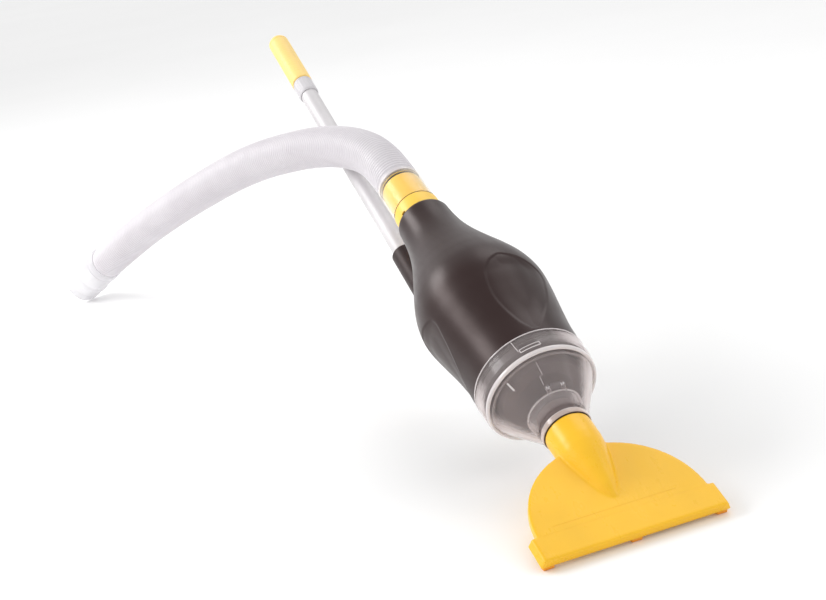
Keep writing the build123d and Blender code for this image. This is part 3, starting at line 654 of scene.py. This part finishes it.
nozzle = cut(make_nozzle(), *nozzle_cutters())
nozzle.data.transform(TOOL)
nozzle.data.materials.clear()
nozzle.data.materials.append(YELLOW)
nozzle.data.materials.append(SLEEVED)
to_tool = TOOL.inverted()
# the spigot is dark inside the chamber
for polygon in nozzle.data.polygons:
    if (to_tool @ polygon.center).z > (TUBE_END + 0.4) * MM:
        polygon.material_index = 1
put(nozzle, "nozzle", "nozzle_yellow", "nozzle_head")


def make_feet():
    """Small wedge feet whose soles lie on the floor."""
    drop = 6.5 * math.tan(TILT)
    front, back = -1.0, FOOT_LONG - 1.0
    side_view = [
        (SOLE_Y - 1.0, front), (SOLE_Y + 3.5, front), (SOLE_Y + 3.5 + drop, back), (SOLE_Y - 1.0, back),
    ]
    # their darker orange is painted shade under the lip
    feet = [
        prism(f"foot_{i}", side_view, x - FOOT_HALF, x + FOOT_HALF, TOOL, FOOT_SHADE_ORANGE, 0.7, "x")
        for i, x in enumerate(FOOT_PLACES)
    ]
    return joined("nozzle_feet_moulded", feet)


put(make_feet(), "nozzle", "foot_orange", "nozzle_feet")


# ---------------------------------------------------------------- clear debris chamber
CHAMBER_R = 58.5


def make_chamber():
    profile = [
        (20.9, 138.0), (23.9, 138.0), (24.6, 139.2), (25.6, 141.0), (53.4, 186.6), (57.4, 191.6),
        (CHAMBER_R, 196.0), (CHAMBER_R, 209.6), (58.9, 210.2), (58.9, 212.0), (58.4, 212.6),
        (56.2, 212.6), (56.2, 195.4), (50.7, 187.0), (26.0, 146.0), (20.9, 146.0),
    ]
    return lathe("debris_chamber_clear", profile, TOOL, CLEAR, 192, 0.6)


def ring(name, major, minor, station, material, flat=1.0):
    """Bead about the tool axis. Its section is round, then scaled along the axis by flat."""
    outline = [
        (major + minor * math.cos(a), station + minor * flat * math.sin(a))
        for a in (2 * math.pi * k / 14 for k in range(14))
    ]
    return lathe(name, outline, TOOL, material, 144, 0.0)


def tool_point(angle, radius, station):
    """Tool-frame point; the angle is seen from the nozzle side, from +X towards the upper side."""
    a = math.radians(angle)
    return (radius * math.cos(a), -radius * math.sin(a), station)


def bead(name, points, radius, material):
    """Small round ridge through tool-frame points, with closed ends."""
    sides = 8
    line = [TOOL @ (Vector(p) * MM) for p in points]
    verts, faces = [], []
    for i, point in enumerate(line):
        before = line[max(0, i - 1)]
        after = line[min(len(line) - 1, i + 1)]
        tangent = (after - before).normalized()
        if i == 0:
            normal = tangent.orthogonal().normalized()
        else:
            normal = (normal - tangent * normal.dot(tangent)).normalized()
        across = tangent.cross(normal)
        for k in range(sides):
            a = 2 * math.pi * k / sides
            verts.append((point + (normal * math.cos(a) + across * math.sin(a)) * radius * MM) / MM)
    for i in range(len(line) - 1):
        for k in range(sides):
            m = (k + 1) % sides
            faces.append((i * sides + k, i * sides + m, (i + 1) * sides + m, (i + 1) * sides + k))
    faces.append(tuple(range(sides))[::-1])
    faces.append(tuple((len(line) - 1) * sides + k for k in range(sides)))
    return finish_mesh(name, verts, faces, Matrix.Identity(4), material)


def arc_points(start, end, radius, station):
    """Points from one angle to another, both in degrees."""
    steps = 16
    angles = [start + (end - start) * k / steps for k in range(steps + 1)]
    return [tool_point(angle, radius, station) for angle in angles]


def chamber_trim():
    """Rims, neck lip, lug frames, seams, index rib and mould line that show in the clear wall."""
    neck_lip = [(24.1, 133.2), (24.9, 133.8), (25.0, 138.4), (24.2, 138.8)]
    # the rims, lug frames, seams, index rib and mould line carry the whiter rim plastic: painted
    # highlight
    pieces = [
        ring("rim_back", CHAMBER_R, 0.55, 212.2, CLEAR_RIM_HIGHLIGHT),
        ring("rim_cone", 55.6, 1.9, 188.4, CLEAR_RIM_HIGHLIGHT, 1.35),
        ring("rim_inner", 51.8, 0.9, 184.4, CLEAR, 1.2),
        ring("rim_neck", 24.2, 0.6, 138.6, CLEAR_RIM_HIGHLIGHT),
        lathe("neck_lip", neck_lip, TOOL, NECK, 128, 0.3),
    ]
    for turn in THIRDS:
        frame_line = arc_points(92 + turn, 112 + turn, CHAMBER_R, 197.5)
        frame_line += arc_points(112 + turn, 92 + turn, CHAMBER_R, 193.6)
        frame_line.append(frame_line[0])
        pieces.append(bead(f"lug_frame_{turn}", frame_line, 0.4, CLEAR_RIM_HIGHLIGHT))
        seam = [tool_point(114.5 + turn, CHAMBER_R, 211), tool_point(113.5 + turn, CHAMBER_R, 196)]
        pieces.append(bead(f"seam_{turn}", seam, 0.3, CLEAR_RIM_HIGHLIGHT))
    index_rib = [tool_point(141, 52.2, 181), tool_point(141, 47.9, 172.5)]
    pieces.append(bead("index_rib", index_rib, 0.9, CLEAR_RIM_HIGHLIGHT))
    mould_line = [
        tool_point(104, 51.0, 181), tool_point(104, 44.6, 170), tool_point(108, 44.2, 169.4),
        tool_point(109, 40.0, 162),
    ]
    pieces.append(bead("mould_line", mould_line, 0.18, CLEAR_RIM_HIGHLIGHT))
    return joined("debris_chamber_rims", pieces)


put(make_chamber(), "chamber", "clear_shell", "debris_chamber")
put(chamber_trim(), "chamber", "clear_shell")


def make_intake():
    """Clear tube with its rolled lip and the two ears that hold the flap's pin."""
    profile = [
        (22.9, 146.1), (25.5, 146.1), (28.2, 160.4), (28.2, 161.0), (25.7, 161.0), (25.3, 160.0),
    ]
    tube = lathe("intake_wall", profile, TOOL, CLEAR, 128, 0.35)
    # the rolled lip carries the whiter rim plastic: painted highlight
    lip = ring("intake_lip", 27.3, 0.8, 160.3, CLEAR_RIM_HIGHLIGHT)
    side_view = [
        (-26.4, 155.0), (-27.6, 155.0), (-32.4, 160.7), (-32.4, 166.6), (-28.0, 166.6), (-26.4, 161.0),
    ]
    ears = [
        prism(f"intake_ear_{i}", side_view, x, x + 2.8, TOOL, CLEAR, 0.4, "x")
        for i, x in enumerate((-8.8, 6.0))
    ]
    return joined("intake_tube_clear", [tube, lip, *ears])


put(make_intake(), "chamber", "clear_shell", "intake_tube")


def make_strainer():
    """Domed strainer cup with fine gauze moulded over its slots."""
    profile = [
        (0.0, 181.6), (30.0, 181.6), (41.0, 184.6), (45.3, 192.0), (45.3, 200.0), (43.6, 200.0),
        (43.6, 192.8), (39.8, 186.2), (29.5, 183.5), (0.0, 183.5),
    ]
    return lathe("strainer_cup_gauze", profile, TOOL, STRAINER, 144, 1.2)


put(make_strainer(), "housing", "inner_black", "strainer_cone")


# ---------------------------------------------------------------- housing
# outline of the housing as (station, radius)
BULB = (
    (213.0, 58.2), (240.0, 59.8), (260.0, 62.3), (280.0, 65.2), (300.0, 68.0),
    (320.0, 69.4), (340.0, 66.6), (360.0, 60.4), (380.0, 52.9), (400.0, 45.5),
    (420.0, 39.0), (440.0, 34.2), (460.0, 31.4), (477.0, 30.2),
)
# leaf-shaped flute: its ends, and its two edges as (station, angle)
LEAF_FROM, LEAF_TO = 216, 323
LEAF_LEFT = ((216, 90), (232, 98), (266, 105), (298, 101), (314, 92), (323, 80))
LEAF_RIGHT = ((216, 82), (236, 66), (256, 53), (278, 44), (302, 41), (315, 58), (323, 80))


def between(table, at):
    """Smooth value between the two nearest entries."""
    if at <= table[0][0]:
        return table[0][1]
    for i in range(len(table) - 1):
        (z0, v0), (z1, v1) = table[i], table[i + 1]
        if at <= z1:
            before = table[max(0, i - 1)]
            after = table[min(len(table) - 1, i + 2)]
            slope0 = (v1 - before[1]) / (z1 - before[0])
            slope1 = (after[1] - v0) / (after[0] - z0)
            t = (at - z0) / (z1 - z0)
            span = z1 - z0
            a = (2 * t**3 - 3 * t**2 + 1) * v0 + (t**3 - 2 * t**2 + t) * span * slope0
            b = (-2 * t**3 + 3 * t**2) * v1 + (t**3 - t**2) * span * slope1
            return a + b
    return table[-1][1]


def leaf_depth(angle, z):
    """How far the flutes sink in, in mm. The angle is in degrees, seen from the nozzle side."""
    if not LEAF_FROM < z < LEAF_TO:
        return 0.0
    left, right_edge = between(LEAF_LEFT, z), between(LEAF_RIGHT, z)
    radius = between(BULB, z)
    deepest = 0.0
    for turn in THIRDS:
        a = (angle - turn - (left + right_edge) / 2 + 180) % 360 - 180
        half = (left - right_edge) / 2
        inside = (half - abs(a)) * math.radians(1) * radius
        inside = min(inside, 1.2 * (z - LEAF_FROM), 1.2 * (LEAF_TO - z))
        if inside > 0:
            edge = smooth_step(0.0, 3.6, inside) * 0.75
            dish = smooth_step(0.0, 22.0, inside) * 1.7
            deepest = max(deepest, edge + dish)
    return deepest


def make_bulb():
    """The shell's outside with its flutes, turned in over both ends."""
    stations = [213.0 + 1.1 * i for i in range(240)]
    front = [(57.0, 212.9), (57.9, 213.2)]
    back = [(30.2, 477.6), (29.7, 479.2), (28.4, 480.0), (22.6, 480.0), (22.6, 474.5), (26.0, 472.0)]
    profile = [*front, *((between(BULB, z), z) for z in stations), *back]

    def shape(angle, z, r):
        return -leaf_depth(-math.degrees(angle), z) if r > 28 and z > 215 else 0.0

    return lathe(
        "bulb_housing_moulded", profile, TOOL, BROWN, 360, 0.0, closed=False, shape=shape, sharp=50
    )


def make_lug(angle):
    """Bayonet lug, 18 degrees wide, centred on an angle."""
    corners = ((55.0, 199.5), (57.1, 199.5), (57.1, 203.0), (55.0, 203.0))
    steps = 10
    verts, faces = [], []
    for k in range(steps + 1):
        verts += [tool_point(angle - 9 + 18 * k / steps, r, z) for r, z in corners]
    for k in range(steps):
        for m in range(4):
            n = (m + 1) % 4
            faces.append((k * 4 + m, k * 4 + n, k * 4 + 4 + n, k * 4 + 4 + m))
    faces += [(3, 2, 1, 0), tuple(steps * 4 + m for m in range(4))]
    return finish_mesh(f"lug_{angle}", verts, faces, TOOL, SKIRT)


def make_skirt():
    """Inner skirt with its seal land and bayonet lugs, seen through the clear band."""
    profile = [
        (57.9, 213.4), (55.7, 212.4), (55.7, 209.0), (54.7, 208.6), (54.7, 206.4), (55.7, 206.0),
        (55.7, 197.5), (50.2, 188.6), (47.5, 188.6), (52.6, 196.6), (52.6, 215.0), (56.0, 216.0),
    ]
    skirt = lathe("skirt", profile, TOOL, SKIRT, 180, 0.4)
    return joined("bulb_skirt", [skirt, *(make_lug(102 + turn) for turn in THIRDS)])


def make_stub():
    """Neck inside the lock ring."""
    profile = [(18.6, 474.0), (22.3, 474.0), (22.3, 494.0), (18.6, 494.0)]
    return lathe("outlet_stub", profile, TOOL, BROWN, 96, 0.5)


put(make_bulb(), "housing", "housing_brown", "bulb_housing")
put(make_skirt(), "housing", "housing_brown")
put(make_stub(), "housing", "housing_brown")


# ---------------------------------------------------------------- outlet
def make_lock_ring():
    """Yellow ring with its small notch."""
    profile = [
        (22.5, 480.5), (25.6, 480.5), (26.3, 481.2), (26.3, 499.6), (25.6, 500.9), (22.9, 500.9),
        (22.9, 498.6), (24.7, 498.4), (24.7, 493.8), (22.5, 493.6),
    ]
    ring_piece = lathe("outlet_lock_ring_moulded", profile, TOOL, OUTLET, 144, 0.45)
    notch_plan = [(20, -2.7), (32, -2.7), (32, 2.7), (20, 2.7)]
    turned = TOOL @ Matrix.Rotation(math.radians(-147), 4, "Z")
    return cut(ring_piece, prism("notch", notch_plan, 478.0, 486.5, turned, OUTLET, 0))


def make_outlet_spigot():
    profile = [
        (18.6, 494.2), (24.1, 494.2), (24.1, 497.9), (22.7, 498.4), (22.7, 503.0), (23.3, 506.0),
        (23.3, 543.2), (22.4, 543.9), (21.4, 544.4), (21.4, 546.6), (22.4, 547.4), (22.2, 549.0),
        (18.6, 549.0),
    ]
    return lathe("outlet_spigot_moulded", profile, TOOL, OUTLET, 128, 0.35)


def make_inlet_cuff():
    """Clear sleeve over the spigot, with the hose's first ring inside its far end."""
    profile = [
        (23.6, 502.0), (24.9, 502.0), (25.6, 502.8), (25.6, 551.6), (24.8, 553.0), (21.1, 553.0),
        (21.1, 549.8), (23.6, 549.6),
    ]
    sleeve = lathe("inlet_sleeve", profile, TOOL, SLEEVE, 128, 0.5)
    hose_end = [(21.2, 549.9), (24.5, 549.9), (24.5, 552.8), (21.2, 552.8)]
    collar = lathe("inlet_end", hose_end, TOOL, HOSE, 96, 0.2)
    return joined("hose_inlet_cuff_clear", [sleeve, collar])


put(make_lock_ring(), "lock_ring", "outlet_yellow", "outlet_lock_ring")
put(make_outlet_spigot(), "housing", "outlet_yellow", "outlet_spigot")
put(make_inlet_cuff(), "housing", "clear_sleeve", "hose_inlet_cuff")
# a thin dark ring where the lock ring meets the clear sleeve
put(ring("cuff_dark_ring", 25.7, 0.3, 501.6, SEAL), "housing", "seal_rubber")


# ---------------------------------------------------------------- pole
GRIP_LONG, GRIP_RINGS, GRIP_PITCH = 96.0, 16, 4.6


def make_collar():
    profile = [
        (11.1, 328.2), (12.1, 328.2), (12.9, 331.0), (12.9, 334.0), (12.5, 334.6), (12.5, 352.4),
        (12.9, 353.0), (12.9, 355.2), (12.2, 355.9), (9.6, 355.9), (9.6, 354.5), (11.1, 354.3),
    ]
    return lathe(
        "pole_lock_collar_moulded", profile, POLE, COLLAR, 108, 0.35, shape=collar_ribs
    )


def collar_ribs(angle, z, r):
    """Fine lengthwise ribs on the collar's waist."""
    if r < 12.3 or not 334.3 < z < 352.7:
        return 0.0
    rib_depth, rib_count = 0.35, 18
    return rib_depth * (0.5 + 0.5 * math.cos(rib_count * angle))


def make_grip():
    """Ribbed soft sleeve: rings between two plain bands."""
    start = GRIP_AT - GRIP_LONG / 2
    profile = [(9.3, start), (12.4, start), (13.4, start + 1.2), (13.5, start + 10)]
    for i in range(GRIP_RINGS):
        z = start + 12 + i * GRIP_PITCH
        profile += [(13.5, z), (13.3, z + 0.9), (13.3, z + 1.9), (13.5, z + 2.8)]
    profile += [(13.5, start + 90), (13.45, start + 95.6), (12.6, start + 96.0), (9.3, start + 96.0)]
    return lathe("pole_grip_sleeve", profile, POLE, GRIP, 96, 0.3)


def make_cap():
    end = GRIP_AT + GRIP_LONG / 2
    profile = [
        (0.0, end - 6), (9.1, end - 6), (9.1, end + 0.1), (13.45, end + 0.1),
        (13.45, end + 2.8), (12.2, end + 5.6), (9.0, end + 7.6), (4.6, end + 8.3), (0.0, end + 8.5),
    ]
    return lathe("grip_cap_moulded", profile, POLE, GRIP, 96, 0.8, closed=False)


put(make_collar(), "pole_collar", "collar_grey", "pole_lock_collar")
put(make_grip(), "pole_inner", "grip_yellow", "pole_grip")
put(make_cap(), "pole_inner", "grip_yellow", "grip_cap")

# ---------------------------------------------------------------- CAD nodes that keep their shape
FINISHES = {
    SEAL: ("nozzle_o_ring", "chamber_seal", "shaft_seal", "lid_seal", "spigot_o_ring"),
    FLAP: ("flap_valve",),
    STEEL: (
        "flap_pin", "cover_screws", "motor_shaft", "lid_screws", "slider_magnet", "socket_screws",
        "pole_button",
    ),
    BLACK: ("pump_cover", "capsule_lid", "capsule_body", "switch_base", "pole_socket"),
    WHITE: ("impeller", "motor_clamp", "cell_holder", "pole_glide"),
    CAN: ("motor_can",),
    JACKET: ("battery_cells",),
    SPRING: ("contact_springs", "contact_plates", "button_spring"),
    GLASS: ("reed_switch",),
    OUTLET: ("switch_slider",),
    ALUMINIUM: ("pole_outer_tube", "pole_inner_tube"),
}
for material, names in FINISHES.items():
    for name in names:
        mesh = NODES[name].data
        mesh.materials.clear()
        mesh.materials.append(material)
        for polygon in mesh.polygons:
            polygon.use_smooth = True
        mesh.set_sharp_from_angle(angle=math.radians(30))



def make_button_leaf():
    """The CAD's leaf spring again, as a mesh of its own."""
    mesh = NODES["button_spring"].data.copy()
    mesh.transform(NODES["button_spring"].matrix_world)
    leaf = bpy.data.objects.new("button_leaf_spring", mesh)
    bpy.context.scene.collection.objects.link(leaf)
    return leaf


button_leaf = put(make_button_leaf(), "housing", "contact_metal", "button_spring")
# the button goes in 4 mm, towards the leaf's flat base, and the leaf is 14.9 mm high
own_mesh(button_leaf)

# ---------------------------------------------------------------- floor and light
def make_floor():
    size = 12.0
    corners = [(-size, -size), (size, -size), (size, size), (-size, size)]
    mesh = bpy.data.meshes.new("floor")
    mesh.from_pydata([(x, y, FLOOR_Z) for x, y in corners], [], [(0, 1, 2, 3)])
    floor = bpy.data.objects.new("floor", mesh)
    bpy.context.scene.collection.objects.link(floor)
    material, tree, shader = new_material("floor_pale")
    clouds = noise_node(tree, 1.5)
    pale = ramp(tree, clouds, (0.95, 0.95, 0.95), (0.97, 0.97, 0.97))
    tree.links.new(pale, shader.inputs["Base Color"])
    shader.inputs["Roughness"].default_value = 0.85
    mesh.materials.append(material)


def area_light(name, place, target, size, power):
    """Rectangular light of a size in metres and a power in watts, turned to its target."""
    data = bpy.data.lights.new(name, "AREA")
    data.shape = "RECTANGLE"
    data.size, data.size_y = size
    data.energy = power
    obj = bpy.data.objects.new(name, data)
    obj.location = place
    obj.rotation_euler = (Vector(target) - Vector(place)).to_track_quat("-Z", "Y").to_euler()
    bpy.context.scene.collection.objects.link(obj)


make_floor()
middle = (CAD_BOX[0] + CAD_BOX[1]) / 2
area_light("strip_left", (-1.66, 0.62, 1.07), (0.0, -0.6, -0.2), (2.2, 0.8), 34)
area_light("soft_right", (2.2, -1.5, 1.4), middle, (1.0, 1.6), 6)
key_data = bpy.data.lights.new("soft_key", "SUN")
key_data.energy = 0.42
key_data.angle = math.radians(35.0)
key = bpy.data.objects.new("soft_key", key_data)
key.rotation_euler = Vector((-0.45, -0.42, -0.79)).to_track_quat("-Z", "Y").to_euler()
bpy.context.scene.collection.objects.link(key)
world = bpy.data.worlds.new("studio")
world.use_nodes = True
sky = world.node_tree
backdrop = sky.nodes["Background"]
backdrop.inputs["Color"].default_value = (1.0, 1.0, 1.0, 1.0)
# dimmer overhead than at the sides, as in a tent lit from its walls
direction = add(sky, "ShaderNodeTexCoord")
parts = add(sky, "ShaderNodeSeparateXYZ")
fade = add(sky, "ShaderNodeMapRange")
fade.inputs["From Min"].default_value = 0.1
fade.inputs["From Max"].default_value = 0.9
fade.inputs["To Min"].default_value = 0.98
fade.inputs["To Max"].default_value = 0.72
sky.links.new(direction.outputs["Generated"], parts.inputs["Vector"])
sky.links.new(parts.outputs["Z"], fade.inputs["Value"])
sky.links.new(fade.outputs["Result"], backdrop.inputs["Strength"])
bpy.context.scene.world = world
bpy.context.scene.view_settings.view_transform = "Standard"
